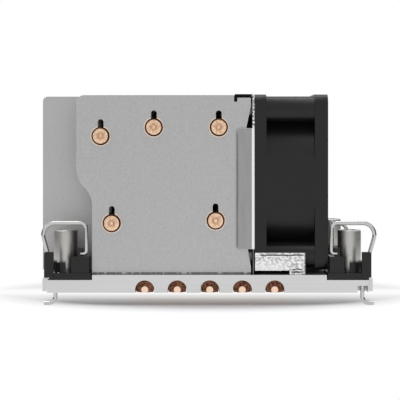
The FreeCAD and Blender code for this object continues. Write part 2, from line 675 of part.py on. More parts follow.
def plain_holes(drawing):
    """Keyed holes of straight edges, which touch the pipes on their flats."""
    flat = "(pipe_round + collar_gap)"
    corner = f"({flat} * tan(180 / 8))"
    half = "(key_wide / 2)"
    for pipe in PIPES:
        x, y = f"pipe_{pipe}_across", f"pipe_{pipe}_up"
        drawing.run([
            (f"{x} + {half}", f"{y} + key_reach"),
            (f"{x} - {half}", f"{y} + key_reach"),
            (f"{x} - {half}", f"{y} + sqrt(2) * {flat} - {half}"),
            (f"{x} - {flat}", f"{y} + {corner}"),
            (f"{x} - {flat}", f"{y} - {corner}"),
            (f"{x} - {corner}", f"{y} - {flat}"),
            (f"{x} + {corner}", f"{y} - {flat}"),
            (f"{x} + {flat}", f"{y} - {corner}"),
            (f"{x} + {flat}", f"{y} + {corner}"),
            (f"{x} + {half}", f"{y} + sqrt(2) * {flat} - {half}"),
        ])


def keyed_holes(drawing):
    """Round holes, each with a narrow round-ended slot above it."""
    for pipe in PIPES:
        x, y = f"pipe_{pipe}_across", f"pipe_{pipe}_up"
        hole = "(pipe_round + collar_gap)"
        half = "(key_wide / 2)"
        mouth = f"sqrt({hole} ^ 2 - {half} ^ 2)"
        drawing.run([
            (f"{x} + {half}", f"{y} + key_reach - {half}", half, 1),
            (x, f"{y} + key_reach", half, 1),
            (f"{x} - {half}", f"{y} + key_reach - {half}"),
            (f"{x} - {half}", f"{y} + {mouth}", hole, 1),
            (x, f"{y} - {hole}", hole, 1),
            (f"{x} + {half}", f"{y} + {mouth}"),
        ])


def fin_lips(body, first_y, top_left, bottom_left, right):
    """Folded lips along a fin's upper and lower edges, which set the spacing."""
    lips = Drawing(body, "Lips", "XZ_Plane", f"-({first_y})")
    lips.box(top_left, "fin_top - fin_sheet", "flange_notch", "fin_top")
    lips.box(bottom_left, "base_thick", right, "base_thick + fin_sheet")
    return pad(body, lips, f"{FIN_PITCH} - fin_lip_gap", reverse=True)


NARROW_LIPS = ("-narrow_left + narrow_corner", "-narrow_waist", "fin_right")
WIDE_LIPS = ("-wide_left + wide_corner", "-wide_left", "wide_right")


def fin_group(name, outline, lips, first, count):
    """A run of like fins as separate sheets."""
    body = new_body(name)
    first_y = f"({first} * {FIN_PITCH} - fin_front)"
    face = Drawing(body, "FinFace", "XZ_Plane", f"-({first_y})")
    face.run(outline)
    plain_holes(face)
    sheet_pad = pad(body, face, "fin_sheet", reverse=True)
    lips_pad = fin_lips(body, first_y, *lips)
    row_of(body, [sheet_pad, lips_pad], "Y_Axis", count, f"({count} - 1) * {FIN_PITCH}")


def round_things(drawing, radius):
    """A circle round each pipe."""
    for pipe in PIPES:
        drawing.circle(f"pipe_{pipe}_across", f"pipe_{pipe}_up", radius)


def cover_fin(name, outline, first_y, keyed):
    """An end fin with keyed or round holes."""
    body = new_body(name)
    face = Drawing(body, "FinFace", "XZ_Plane", f"-({first_y})")
    face.run(outline)
    if keyed:
        keyed_holes(face)
    else:
        round_things(face, "pipe_round + collar_gap")
    pad(body, face, "fin_sheet", reverse=True)
    return body


def open_collars(body, face_y):
    """Rings pulled forwards from the front fin round each pipe, open at the key slot."""
    rings = Drawing(body, "Collars", "XZ_Plane", f"-({face_y})")
    hole = "(pipe_round + collar_gap)"
    outer = "(pipe_round + collar_gap + collar_wall)"
    half = "(key_wide / 2)"
    for pipe in PIPES:
        x, y = f"pipe_{pipe}_across", f"pipe_{pipe}_up"
        low_mouth = f"sqrt({hole} ^ 2 - {half} ^ 2)"
        high_mouth = f"sqrt({outer} ^ 2 - {half} ^ 2)"
        rings.run([
            (f"{x} - {half}", f"{y} + {high_mouth}", outer, 1),
            (x, f"{y} - {outer}", outer, 1),
            (f"{x} + {half}", f"{y} + {high_mouth}"),
            (f"{x} + {half}", f"{y} + {low_mouth}", hole, -1),
            (x, f"{y} - {hole}", hole, -1),
            (f"{x} - {half}", f"{y} + {low_mouth}"),
        ])
    pad(body, rings, "collar_reach")


def closed_collars(body, face_y):
    """Full rings pulled backwards from the rear fin round each pipe."""
    rings = Drawing(body, "Collars", "XZ_Plane", f"-({face_y})")
    round_things(rings, "pipe_round + collar_gap + collar_wall")
    round_things(rings, "pipe_round + collar_gap")
    pad(body, rings, "collar_reach", reverse=True)


def fins():
    narrow = narrow_outline("fin_right", [("fin_right", "base_thick")])
    slanted = narrow_outline("front_right", [
        ("front_right", "slant_top"),
        ("fin_right", "slant_bottom"),
        ("fin_right", "low_slant_top"),
        ("front_right", "low_slant_bottom"),
        ("front_right", "base_thick"),
    ])
    wide = wide_outline()
    front = cover_fin("front_fin", slanted, "-fin_front", True)
    lips = fin_lips(front, "-fin_front", *NARROW_LIPS)
    doc.recompute()
    face_y, base_z = -number_of("fin_front"), number_of("base_thick")
    lower_edge = edges_where(lips, lambda edge: (
        edge.BoundBox.YMax < face_y + TINY and edge.BoundBox.ZMax < base_z + TINY
    ))
    rounding(front, lips, lower_edge, "front_bend")
    open_collars(front, "-fin_front")
    fin_group("narrow_fins", narrow, NARROW_LIPS, "1", "(fin_narrow - 1)")
    fin_group("wide_fins", wide, WIDE_LIPS, "fin_narrow", "(fin_count - fin_narrow - 1)")
    rear = cover_fin("rear_fin", wide, f"({STACK_REAR} - fin_sheet)", False)
    closed_collars(rear, STACK_REAR)


# ---------------------------------------------------------------- fan bracket

def fan_bracket():
    body = new_body("fan_bracket")
    front, rear = "(-fin_front - sheet)", f"({STACK_REAR} + sheet)"
    wall = Drawing(body, "Wall", "YZ_Plane", "bracket_left")
    wall.run([
        (front, "flap_bottom"),
        ("-fin_front", "flap_bottom"),
        ("-fin_front", "base_thick"),
        (STACK_REAR, "base_thick"),
        (STACK_REAR, "flap_bottom"),
        (rear, "flap_bottom"),
        (rear, BRACKET_TOP),
        (front, BRACKET_TOP),
    ])
    wall.circle(FAN_MIDDLE, FAN_HEIGHT, "fan_bore")
    for side, level in FAN_HOLES:
        hole_y = f"{FAN_MIDDLE} + {side} * fan_hole_spacing / 2"
        hole_z = f"{FAN_HEIGHT} + {level} * fan_hole_spacing / 2"
        wall.circle(hole_y, hole_z, "screw_round + bracket_gap")
    pad(body, wall, "sheet")
    right = f"({FAN_LEFT})"
    for face_y, inward in (("-fin_front", False), (STACK_REAR, True)):
        flap = Drawing(body, "Flap", "XZ_Plane", f"-({face_y})")
        flap.run([
            (right, "flap_bottom"),
            (right, "flap_top"),
            ("flap_left + sheet", "flap_top", "sheet", 1),
            ("flap_left", "flap_top - sheet"),
            ("flap_left", "flap_bottom + sheet", "sheet", 1),
            ("flap_left + sheet", "flap_bottom"),
        ])
        pad(body, flap, "sheet", reverse=inward)
        tab = Drawing(body, "Tab", "XZ_Plane", f"-({face_y})")
        tab_left = f"({FAN_LEFT} - sheet / 2)"
        tab.run([
            (tab_left, "tab_top"),
            (tab_left, FAN_BOTTOM),
            ("foot_left", FAN_BOTTOM),
            ("foot_left", "base_thick"),
            ("tab_right", "base_thick"),
            ("tab_right", "tab_top"),
        ])
        pad(body, tab, "sheet", reverse=inward)
    hook = Drawing(body, "TopFlange", "XZ_Plane", "fin_front")
    inner = "(flange_notch + flange_fit)"
    top = BRACKET_TOP
    under = f"({BRACKET_TOP} - sheet)"
    hook.run([
        (right, top),
        (f"{inner} + sheet / 2", top, "sheet / 2", 1),
        (inner, f"{top} - sheet / 2"),
        (inner, f"{under} - hook_drop"),
        (f"{inner} + sheet", f"{under} - hook_drop"),
        (f"{inner} + sheet", under),
        (right, under),
    ])
    pad(body, hook, "fan_size", reverse=True)


# ---------------------------------------------------------------- fan

FAN_TURN = FreeCAD.Rotation(Vector(1, 1, 1), 120)
FAN_HOLES = [(side, level) for side in (-1, 1) for level in (-1, 1)]


def fan_body(name):
    """A body whose own Z axis is the fan's axis, from the outlet face towards the inlet."""
    body = new_body(name)
    place(body, FAN_LEFT, FAN_MIDDLE, FAN_HEIGHT, FAN_TURN)
    return body


def turned(text_pair, quarter):
    """A point turned by quarter turns about the fan's axis."""
    x, y = text_pair
    for step in range(quarter):
        x, y = f"-({y})", x
    return x, y


def fan_frame():
    body = fan_body("fan_frame")
    half = "(fan_size / 2)"
    block = Drawing(body, "Square", "XY_Plane")
    block.rounded_box(f"-{half}", f"-{half}", half, half, "fan_corner")
    pad(body, block, "fan_deep")
    boss = "(fan_hole_spacing / 2)"
    near = f"({boss} - fan_boss)"
    far = f"({boss} + fan_boss)"
    step = "sqrt(fan_barrel ^ 2 - pad_half ^ 2)"
    foot = f"sqrt(fan_barrel ^ 2 - {near} ^ 2)"
    outside = f"({half} + sheet)"
    corner_cut = [
        ("pad_half", step, "fan_barrel", -1),
        (near, foot),
        (near, boss, "fan_boss", -1),
        (boss, far, "fan_boss", -1),
        (far, boss, "fan_boss", -1),
        (boss, near),
        (foot, near, "fan_barrel", -1),
        (step, "pad_half"),
        (outside, "pad_half"),
        (outside, outside),
        ("pad_half", outside),
    ]
    windows = Drawing(body, "Windows", "XY_Plane", "fan_flange")
    for quarter in range(4):
        windows.run([(*turned(stop[:2], quarter), *stop[2:]) for stop in corner_cut])
    pocket(body, windows, "fan_deep - fan_flange - fan_inlet_flange", reverse=True)
    gussets = Drawing(body, "Gussets", "XZ_Plane", half)
    for side in (-1, 1):
        gussets.run([
            (f"{side} * pad_half", "fan_flange"),
            (f"{side} * (pad_half + gusset_wide)", "fan_flange"),
            (f"{side} * pad_half", "fan_flange + gusset_long"),
        ])
    ring_of(body, [pad(body, gussets, f"1.5 * ({half} - fan_bore)", reverse=True)], "4")
    passage = Drawing(body, "Passage", "XY_Plane", "fan_deep")
    passage.circle("0", "0", "fan_bore")
    pocket(body, passage)
    tapped = ("0", "screw_round + screw_gap", "screw_deep", True)
    clear = ("fan_deep", "inlet_hole", "fan_deep / 2", False)
    for face, radius, depth, inward in (tapped, clear):
        holes = Drawing(body, "ScrewHoles", "XY_Plane", face)
        for side, level in FAN_HOLES:
            holes.circle(f"{side} * {boss}", f"{level} * {boss}", radius)
        cut = pocket(body, holes, depth, reverse=inward)
    doc.recompute()
    bore, inlet = number_of("fan_bore"), number_of("fan_deep")
    inlet_edge = edges_where(cut, lambda edge: (
        isinstance(edge.Curve, Part.Circle)
        and abs(edge.Curve.Radius - bore) < TINY
        and abs(edge.BoundBox.ZMin - inlet) < TINY
    ))
    rounding(body, cut, inlet_edge, "fan_flare")
    spokes = Drawing(body, "Struts", "XY_Plane")
    reach, half_strut = "(fan_bore + fan_flare / 2)", "(strut_wide / 2)"
    spokes.box(f"-{reach}", f"-{half_strut}", reach, half_strut)
    pad(body, spokes, "strut_deep")
    spokes = Drawing(body, "CrossStruts", "XY_Plane")
    spokes.box(f"-{half_strut}", f"-{reach}", half_strut, reach)
    pad(body, spokes, "strut_deep")
    plate = Drawing(body, "MotorPlate", "XY_Plane")
    plate.circle("0", "0", "motor_round")
    pad(body, plate, "strut_deep")
    recess = Drawing(body, "MotorRecess", "XY_Plane", "strut_deep")
    recess.circle("0", "0", "motor_round - strut_deep / 2")
    pocket(body, recess, "strut_deep - motor_plate")
    socket = Drawing(body, "TubeSocket", "XY_Plane", "strut_deep")
    socket.circle("0", "0", "bearing_round + bearing_fit")
    pocket(body, socket)
    notch = Drawing(body, "LeadNotch", "XY_Plane")
    notch.box("fan_size / 2 - fan_corner", "-fan_bore", "fan_size / 2 + sheet", "-fan_bore + 2 * strut_wide")
    pocket(body, notch, "motor_plate", reverse=True)


def fan_screws():
    """Four screws through the bracket into the fan's corner posts, heads towards the fins."""
    body = fan_body("fan_screws")
    heads = Drawing(body, "Heads", "XY_Plane", "-sheet")
    shanks = Drawing(body, "Shanks", "XY_Plane", "-sheet")
    for side, level in FAN_HOLES:
        x, y = f"{side} * fan_hole_spacing / 2", f"{level} * fan_hole_spacing / 2"
        heads.circle(x, y, "screw_head")
        shanks.circle(x, y, "screw_round")
    pad(body, heads, "screw_head_tall", reverse=True)
    pad(body, shanks, "screw_deep")


HUB_BOTTOM = "(strut_deep + run_gap)"
HUB_INSIDE = "(hub_round - hub_wall)"
MAGNET_OUTER = f"({HUB_INSIDE} - yoke_wall)"
MAGNET_INNER = f"({MAGNET_OUTER} - magnet_wall)"
TUBE_OUTER = "(bearing_round + tube_wall)"


def ring_profile(body, name, inner, outer, low, high):
    """A plain ring turned about the body's Z axis."""
    ring = Drawing(body, name, "XZ_Plane")
    ring.box(inner, low, outer, high)
    revolve(body, ring)


def blade_section(body, name, distance, half_chord, low, high, sweep_back):
    """A crescent section of a blade in a plane at a distance from the axis."""
    chord = f"sqrt((2 * {half_chord}) ^ 2 + ({high} - {low}) ^ 2)"
    back = f"({chord} ^ 2 / (8 * blade_camber) + blade_camber / 2)"
    belly_rise = "(blade_camber - blade_thick)"
    belly = f"({chord} ^ 2 / (8 * {belly_rise}) + {belly_rise} / 2)"
    section = Drawing(body, name, "YZ_Plane", distance)
    section.run([
        (f"{sweep_back} - {half_chord}", low, back, -1),
        (f"{sweep_back} + {half_chord}", high, belly, 1),
    ])
    return section


def rotor():
    body = fan_body("rotor")
    cup = Drawing(body, "Hub", "XZ_Plane")
    cup.run([
        ("shaft_round", "hub_top"),
        ("shaft_round", "hub_top - hub_socket"),
        ("2 * shaft_round", "hub_top - hub_socket"),
        ("2 * shaft_round", "hub_top - hub_wall"),
        (HUB_INSIDE, "hub_top - hub_wall"),
        (HUB_INSIDE, HUB_BOTTOM),
        ("hub_round", HUB_BOTTOM),
        ("hub_round", "hub_top - hub_corner", "hub_corner", 1),
        ("hub_round - hub_corner", "hub_top"),
    ])
    revolve(body, cup)
    low, high = HUB_BOTTOM, "(hub_top - hub_corner)"
    tip_low, tip_high = f"({low} + 2 * hub_wall)", f"({high} - 2 * hub_wall)"
    root_at, tip_at = "hub_round - hub_wall / 2", "fan_bore + hub_wall"
    root = blade_section(body, "BladeRoot", root_at, "blade_root_half", f"({low} + run_gap)", high, "0")
    tip = blade_section(body, "BladeTip", tip_at, "blade_tip_half", tip_low, tip_high, "blade_sweep")
    blade = body.newObject("PartDesign::AdditiveLoft", "Blade")
    blade.Profile = root.sketch
    blade.Sections = [tip.sketch]
    blade.Ruled = True
    ring_of(body, [blade], "blade_count")
    trim = Drawing(body, "TipTrim", "XY_Plane", "fan_deep")
    trim.circle("0", "0", "fan_bore - tip_gap")
    trim.circle("0", "0", "fan_size")
    pocket(body, trim)


def motor():
    yoke = fan_body("rotor_yoke")
    ring_profile(yoke, "Yoke", MAGNET_OUTER, HUB_INSIDE, f"{HUB_BOTTOM} + run_gap", "hub_top - 2 * hub_wall")
    magnet = fan_body("rotor_magnet")
    magnet_low = f"({HUB_BOTTOM} + 2 * hub_wall)"
    ring_profile(magnet, "Magnet", MAGNET_INNER, MAGNET_OUTER, magnet_low, f"{magnet_low} + magnet_long")
    shaft = fan_body("rotor_shaft")
    ring_profile(shaft, "Shaft", "0", "shaft_round", "motor_plate / 2", "hub_top")
    tube = fan_body("bearing_tube")
    ring_profile(tube, "Tube", "bearing_round", TUBE_OUTER, "motor_plate", "motor_plate + tube_long")
    lows = {"rear_bearing": "motor_plate / 2", "front_bearing": "(motor_plate + tube_long - bearing_long)"}
    for name, low in lows.items():
        bearing = fan_body(name)
        high = f"{low} + bearing_long"
        ring_profile(bearing, "Bearing", "shaft_round + shaft_gap", "bearing_round", low, high)
    board = fan_body("motor_board")
    board_edge, board_top = "motor_round - strut_deep", "motor_plate + board_thick"
    ring_profile(board, "Board", TUBE_OUTER, board_edge, "motor_plate", board_top)
    stator_low = f"({magnet_low} + (magnet_long - stator_tall) / 2)"
    pole_tip = f"({MAGNET_INNER} - pole_gap)"
    core = fan_body("stator_core")
    rim = Drawing(core, "CoreRing", "XY_Plane", stator_low)
    rim.circle("0", "0", f"{TUBE_OUTER} + tube_wall")
    rim.circle("0", "0", TUBE_OUTER)
    pad(core, rim, "stator_tall")
    neck = Drawing(core, "PoleNeck", "XY_Plane", stator_low)
    neck_end = f"{pole_tip} - shoe_thick / 3"
    neck.box(f"{TUBE_OUTER} + tube_wall / 2", "-strut_wide / 2", neck_end, "strut_wide / 2")
    neck_pad = pad(core, neck, "stator_tall")
    shoe = Drawing(core, "PoleShoe", "XY_Plane", stator_low)
    shoe_back = f"({pole_tip} - shoe_thick)"
    shoe.run([
        (f"sqrt({shoe_back} ^ 2 - shoe_half ^ 2)", "-shoe_half"),
        (f"sqrt({pole_tip} ^ 2 - shoe_half ^ 2)", "-shoe_half", pole_tip, 1),
        (f"sqrt({pole_tip} ^ 2 - shoe_half ^ 2)", "shoe_half"),
        (f"sqrt({shoe_back} ^ 2 - shoe_half ^ 2)", "shoe_half", shoe_back, -1),
    ])
    shoe_pad = pad(core, shoe, "stator_tall")
    ring_of(core, [neck_pad, shoe_pad], "4")
    coils = fan_body("stator_coils")
    coil_start = f"({TUBE_OUTER} + tube_wall)"
    coil_low, coil_high = f"{stator_low} - strut_wide / 2", f"{stator_low} + stator_tall + strut_wide / 2"
    coil = Drawing(coils, "Coil", "YZ_Plane", coil_start)
    coil.rounded_box("-strut_wide", coil_low, "strut_wide", coil_high, "tube_wall")
    coil.box("-strut_wide / 2", stator_low, "strut_wide / 2", f"{stator_low} + stator_tall")
    coil_pad = pad(coils, coil, f"{shoe_back} - coil_gap - {coil_start}")
    ring_of(coils, [coil_pad], "4")


# ---------------------------------------------------------------- fastening

def captive_nut(corner, sign_x, sign_y):
    """A tall sleeve nut with a threaded bore below and a six-lobed drive recess on top."""
    body = new_body(f"captive_nut_{corner}")
    place(body, f"{sign_x} * nut_across", f"{sign_y} * nut_along", "0")
    shoulder = "(ledge_top + nut_seat)"
    profile = Drawing(body, "Profile", "XZ_Plane")
    profile.run([
        ("nut_bore", "nut_mouth"),
        ("nut_neck", "nut_mouth"),
        ("nut_neck", shoulder),
        ("nut_round", shoulder),
        ("nut_round", "nut_top - nut_edge"),
        ("nut_round - nut_edge", "nut_top"),
        ("0", "nut_top"),
        ("0", "nut_mouth + nut_bore_deep"),
        ("nut_bore", "nut_mouth + nut_bore_deep"),
    ])
    revolve(body, profile)
    recess = Drawing(body, "Drive", "XY_Plane", "nut_top")
    recess.circle("0", "0", "drive_round")
    pocket(body, recess, "drive_deep")
    lobe = Drawing(body, "DriveLobe", "XY_Plane", "nut_top")
    lobe.circle("drive_round", "0", "drive_lobe")
    ring_of(body, [pocket(body, lobe, "drive_deep")], "6")


def wire_inner(sign_x):
    """Place of a wire's inner leg along X."""
    return shifted("nut_across - wire_reach", sign_x, "wire_shift")


def nut_holder(corner, sign_x, sign_y):
    """A moulded holder: a floor on the ledge, a split cup round the nut, an ear and an outer post."""
    body = new_body(f"nut_holder_{corner}")

    def level(name, height):
        return Drawing(body, name, "XY_Plane", height, sign_x, sign_y)

    inner = shifted("ledge_start + holder_play", sign_x, "holder_shift")
    outer = shifted("base_long / 2 - holder_inset", sign_x, "holder_shift")
    floor = level("Floor", "ledge_top")
    floor.rounded_box(inner, "ledge_side + holder_back_gap", outer, "base_wide / 2", "sheet / 2")
    pad(body, floor, "holder_thick")
    cup = level("LowCup", "ledge_top")
    cup.circle("nut_across", "nut_along", CUP_OUTER)
    pad(body, cup, "cup_low - ledge_top")
    wall = level("HighWall", "ledge_top")
    slot = "(nut_across - slot_offset)"
    wall_end, cup_side = f"{inner} + cup_wall / 2", f"nut_across - {CUP_OUTER} - cup_wall"
    wall.run([
        (cup_side, "nut_along - cup_wall"),
        (slot, "nut_along - cup_wall"),
        (slot, STRIP_BACK),
        (wall_end, STRIP_BACK),
        (wall_end, "nut_along + cup_wall"),
        (cup_side, "nut_along + cup_wall"),
    ])
    pad(body, wall, "cup_high - ledge_top")
    ear_inner = f"({wire_inner(sign_x)} + wire_round + post_gap)"
    ear = level("Ear", "ledge_top")
    ear.box(ear_inner, "wire_plane - 2 * wire_round", f"{ear_inner} + ear_wide", STRIP_BACK)
    pad(body, ear, "ear_top - ledge_top")
    socket = Drawing(body, "PivotSocket", "YZ_Plane", f"{sign_x} * {ear_inner}", sign_y)
    socket.circle("wire_plane", "wire_pivot", "wire_round + wire_pivot_gap")
    pocket(body, socket, "ear_wide + holder_play", reverse=sign_x > 0)
    snap = Drawing(body, "SnapOpening", "YZ_Plane", f"{sign_x} * {ear_inner}", sign_y)
    jaw = "(wire_round - wire_pivot_gap)"
    snap.box("wire_plane", f"wire_pivot - {jaw}", "base_wide", f"wire_pivot + {jaw}")
    pocket(body, snap, "ear_wide / 2", reverse=sign_x > 0)
    sleeve = level("NutBore", "ear_top")
    sleeve.circle("nut_across", "nut_along", "nut_round + cup_gap")
    pocket(body, sleeve)
    slit = level("CupSlot", HOLDER_TOP)
    slit.box(slot, "nut_along", f"{slot} + cup_slot", STRIP_BACK)
    pocket(body, slit, "base_thick", reverse=True)
    leg = shifted("nut_across + wire_leg", sign_x, "wire_shift")
    floor_way = level("FloorWay", HOLDER_TOP)
    floor_way.box(f"{leg} - wire_round - 2 * post_gap", "way_back", f"{outer} + sheet", STRIP_BACK)
    pocket(body, floor_way)
    cup_way = level("CupWay", "ear_top")
    cup_way.box(f"{leg} - wire_round / 2", "way_back", f"{outer} + sheet", STRIP_BACK)
    pocket(body, cup_way, "ear_top - ledge_top")
    post = Drawing(body, "OuterPost", "XZ_Plane", f"{-sign_y} * {STRIP_BACK}", sign_x)
    post_outer = "base_long / 2 - post_inset"
    post.run([
        (f"{post_outer} - post_wide", "post_bottom"),
        (post_outer, "post_bottom"),
        (post_outer, "post_top - sheet / 2"),
        (f"{post_outer} - sheet / 2", "post_top"),
        (f"{post_outer} - post_wide", "post_top"),
    ])
    pad(body, post, "post_thick", reverse=sign_y > 0)


def wire_bail(corner, sign_x, sign_y):
    """A bent wire: pivot stub, upright handle and a hook below the base plate."""
    body = new_body(f"wire_bail_{corner}")
    path = Drawing(body, "Bends", "XZ_Plane", f"{-sign_y} * wire_plane", sign_x)
    stub_end = f"{wire_inner(sign_x)} + wire_stub"
    top = "wire_top" if sign_y < 0 else "wire_top_rear"
    shoulder = shifted("nut_across + wire_shoulder", sign_x, "wire_shift")
    leg = shifted("nut_across + wire_leg", sign_x, "wire_shift")
    path.bent([
        (stub_end, "wire_pivot", None),
        (wire_inner(sign_x), "wire_pivot", "wire_pivot_bend"),
        (wire_inner(sign_x), top, "wire_top_bend"),
        (shoulder, top, "wire_round_top"),
        (leg, "wire_leg_top", "wire_leg_bend"),
        (leg, "-wire_foot_drop", "wire_hook_round"),
        (shifted("nut_across + wire_foot", sign_x, "wire_shift"), "-wire_foot_drop", None),
    ])
    section = Drawing(body, "Section", "YZ_Plane", f"{sign_x} * ({stub_end})", sign_y)
    section.circle("wire_plane", "wire_pivot", "wire_round")
    sweep(body, section, path)


# ---------------------------------------------------------------- assembly and export

def build():
    base_plate()
    for slot, pipe in enumerate(PIPES, start=-2):
        heat_pipe(pipe, slot)
    fins()
    fan_bracket()
    fan_frame()
    fan_screws()
    rotor()
    motor()
    for corner, sign_x, sign_y in CORNERS:
        captive_nut(corner, sign_x, sign_y)
        nut_holder(corner, sign_x, sign_y)
        wire_bail(corner, sign_x, sign_y)
    doc.recompute()


def finished_pieces():
    """The pieces to write out: every body or boolean that no other object consumes."""
    kinds = ("PartDesign::Body", "Part::Cut")
    used = {part.Base.Name for part in doc.Objects if part.TypeId == "Part::Cut"}
    return [part for part in doc.Objects if part.TypeId in kinds and part.Name not in used]


def check():
    problems = []
    for part in doc.Objects:
        if "Invalid" in part.State or "Error" in part.State:
            problems.append(f"{part.Name}: {part.State}")
    for piece in finished_pieces():
        if piece.Shape.isNull() or not piece.Shape.isValid() or not piece.Shape.Solids:
            problems.append(f"{piece.Label}: no valid solid")
    if problems:
        sys.exit("\n".join(problems))


def export():
    os.makedirs("parts", exist_ok=True)
    for piece in finished_pieces():
        piece.Shape.exportStep(f"parts/{piece.Label}.step")
        box = piece.Shape.BoundBox
        spans = " ".join(
            f"{axis} {getattr(box, axis + 'Min'):.2f}..{getattr(box, axis + 'Max'):.2f}" for axis in "XYZ"
        )
        print(f"{piece.Label}: {len(piece.Shape.Solids)} solids, {piece.Shape.Volume:.1f} mm3, {spans}")


build()
check()
export()
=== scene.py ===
# %% [markdown]
# # A server processor cooler
#
# The cooler sits on a large processor. Five copper heat pipes carry the heat from a thick
# base plate up into a stack of thin fins, and a small fan beside the stack blows air through it.
# The measured parts arrive ready made. This lesson gives them soft edges, finishes and light.

# %% Load the measured parts
import json
import math

import bmesh
import bpy
from mathutils import Matrix, Vector


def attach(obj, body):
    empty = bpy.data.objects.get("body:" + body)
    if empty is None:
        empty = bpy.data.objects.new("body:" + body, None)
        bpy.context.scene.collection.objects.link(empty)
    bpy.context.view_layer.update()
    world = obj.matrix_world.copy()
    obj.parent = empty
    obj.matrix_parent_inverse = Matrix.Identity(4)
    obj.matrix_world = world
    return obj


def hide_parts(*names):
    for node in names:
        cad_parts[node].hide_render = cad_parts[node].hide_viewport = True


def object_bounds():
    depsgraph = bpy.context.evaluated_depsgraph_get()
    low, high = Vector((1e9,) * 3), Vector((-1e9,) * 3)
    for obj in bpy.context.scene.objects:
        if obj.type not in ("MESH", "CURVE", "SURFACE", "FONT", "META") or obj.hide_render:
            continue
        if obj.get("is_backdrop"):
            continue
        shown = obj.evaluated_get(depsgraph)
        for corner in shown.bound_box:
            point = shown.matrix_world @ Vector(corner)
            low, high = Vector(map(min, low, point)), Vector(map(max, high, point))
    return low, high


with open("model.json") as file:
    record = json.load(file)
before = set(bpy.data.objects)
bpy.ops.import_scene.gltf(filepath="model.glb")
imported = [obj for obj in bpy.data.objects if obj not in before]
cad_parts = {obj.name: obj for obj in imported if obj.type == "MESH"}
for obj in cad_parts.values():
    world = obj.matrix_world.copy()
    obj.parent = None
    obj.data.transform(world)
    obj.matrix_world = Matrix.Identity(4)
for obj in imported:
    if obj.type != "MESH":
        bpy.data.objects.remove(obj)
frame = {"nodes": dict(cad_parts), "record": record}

MM = 0.001


def plain_box():
    """The box round everything that is shown, as plain lists."""
    return [[float(number) for number in corner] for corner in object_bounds()]


cad_box = plain_box()
nodes = frame["nodes"]
slot_of = {row["node"]: row["material_slot"] for row in frame["record"]["subparts"]}
carrier = {
    name: body for body, members in frame["record"]["behaviour"]["bodies"].items() for name in members
}
print(len(nodes), "measured parts, box", cad_box)

# %% [markdown]
# ## Arithmetic on a material
#
# A finish is a small calculation that is done at every point of a surface. Adding its nodes by
# hand takes many lines, so one class wraps a socket and lets ordinary Python arithmetic add them.

# %% A socket that can be calculated with
COLOUR_A, COLOUR_B, COLOUR_OUT = 6, 7, 2
FROM_LOW, FROM_HIGH = 1, 2


class Reading:
    """What one socket gives. Arithmetic on it adds Math nodes to its material."""

    def __init__(self, socket):
        self.socket = socket
        self.tree = socket.id_data

    def node(self, kind, settings=None, inputs=None, output=0):
        """Add a node: its settings first, then the values or links of its sockets."""
        new = self.tree.nodes.new(kind)
        for name, value in (settings or {}).items():
            if name == "stops":
                elements = new.color_ramp.elements
                while len(elements) < len(value):
                    elements.new(1.0)
                for element, (position, grey) in zip(elements, value):
                    element.position = position
                    element.color = (grey, grey, grey, 1)
            else:
                setattr(new, name, value)
        for name, value in (inputs or {}).items():
            if isinstance(value, Reading):
                self.tree.links.new(value.socket, new.inputs[name])
            else:
                new.inputs[name].default_value = value
        return Reading(new.outputs[output])

    def maths(self, operation, *values, clamp=False):
        settings = {"operation": operation, "use_clamp": clamp}
        return self.node("ShaderNodeMath", settings, dict(enumerate(values)))

    def __add__(self, other):
        return self.maths("ADD", self, other)

    def __sub__(self, other):
        return self.maths("SUBTRACT", self, other)

    def __rsub__(self, other):
        return self.maths("SUBTRACT", other, self)

    def __mul__(self, other):
        return self.maths("MULTIPLY", self, other)

    __radd__ = __add__
    __rmul__ = __mul__

    def or_more(self, other):
        """The larger of two values, which joins two masks."""
        return self.maths("MAXIMUM", self, other)

    def noise(self, scale, detail=2.0, stretch=(1, 1, 1)):
        """Cloudy noise from 0 to 1, with its grains stretched along an axis."""
        place = self.node("ShaderNodeMapping", {}, {"Vector": self, "Scale": stretch})
        return place.node("ShaderNodeTexNoise", {}, {"Vector": place, "Scale": scale, "Detail": detail})

    def between(self, low, high, soft):
        """A mask that is 1 where the value lies between two limits."""
        edges = []
        for edge in (low, high):
            limits = {"Value": self, FROM_LOW: edge - soft, FROM_HIGH: edge + soft}
            edges.append(self.node("ShaderNodeMapRange", {"clamp": True}, limits))
        rise, fall = edges
        return rise * (1 - fall)

    def blend(self, first, second):
        """A mix of two colours, with this value as the share of the second."""
        inputs = {0: self, COLOUR_A: first, COLOUR_B: second}
        return self.node("ShaderNodeMix", {"data_type": "RGBA"}, inputs, COLOUR_OUT)


print("Reading has", len([name for name in vars(Reading) if not name.startswith("__")]), "named methods")

# %% A finish and its shader
def as_colour(shade):
    """A grey colour from one number."""
    return shade.node("ShaderNodeCombineColor", {}, {"Red": shade, "Green": shade, "Blue": shade})


